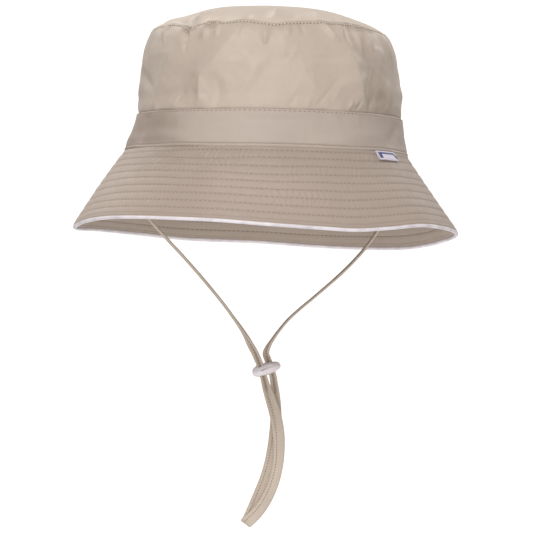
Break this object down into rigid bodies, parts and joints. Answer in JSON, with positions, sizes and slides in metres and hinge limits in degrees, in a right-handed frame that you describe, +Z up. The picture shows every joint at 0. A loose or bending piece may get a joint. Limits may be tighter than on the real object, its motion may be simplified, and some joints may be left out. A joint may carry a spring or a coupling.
{
  "type": "child's bucket sun hat with chin strap",
  "caption": "Child's bucket sun hat: domed gathered crown, plain band, row-stitched flared brim with white piping, and a flat chin strap with a soft sliding stopper.",
  "frame": {"origin": "middle of the head opening, in the plane of the seam between the band and the brim", "axes": "+Z up through the crown, -Y towards the front of the hat, +X to the right as seen from in front"},
  "size_m": [0.2172, 0.231, 0.2926],
  "materials": {
    "crown_fabric": "thin crisp woven polyester, soft sheen, crumpled",
    "band_fabric": "thin crisp woven polyester, smooth, edge-stitched",
    "brim_fabric": "two layers of thin woven polyester, stitched in rows",
    "piping_cord": "white twill-covered piping",
    "label_tape": "white satin tape with plain navy stripes",
    "strap_tape": "folded woven polyester tape with one stitch row",
    "stopper_plastic": "soft moulded white plastic, satin"
  },
  "bodies": {
    "root": {"crown_tip": "crown_fabric", "crown_side": "crown_fabric", "hat_band": "band_fabric", "brim": "brim_fabric", "brim_piping": "piping_cord", "label": "label_tape", "chin_strap": "strap_tape", "cord_stopper": "stopper_plastic"}
  },
  "joints": []
}
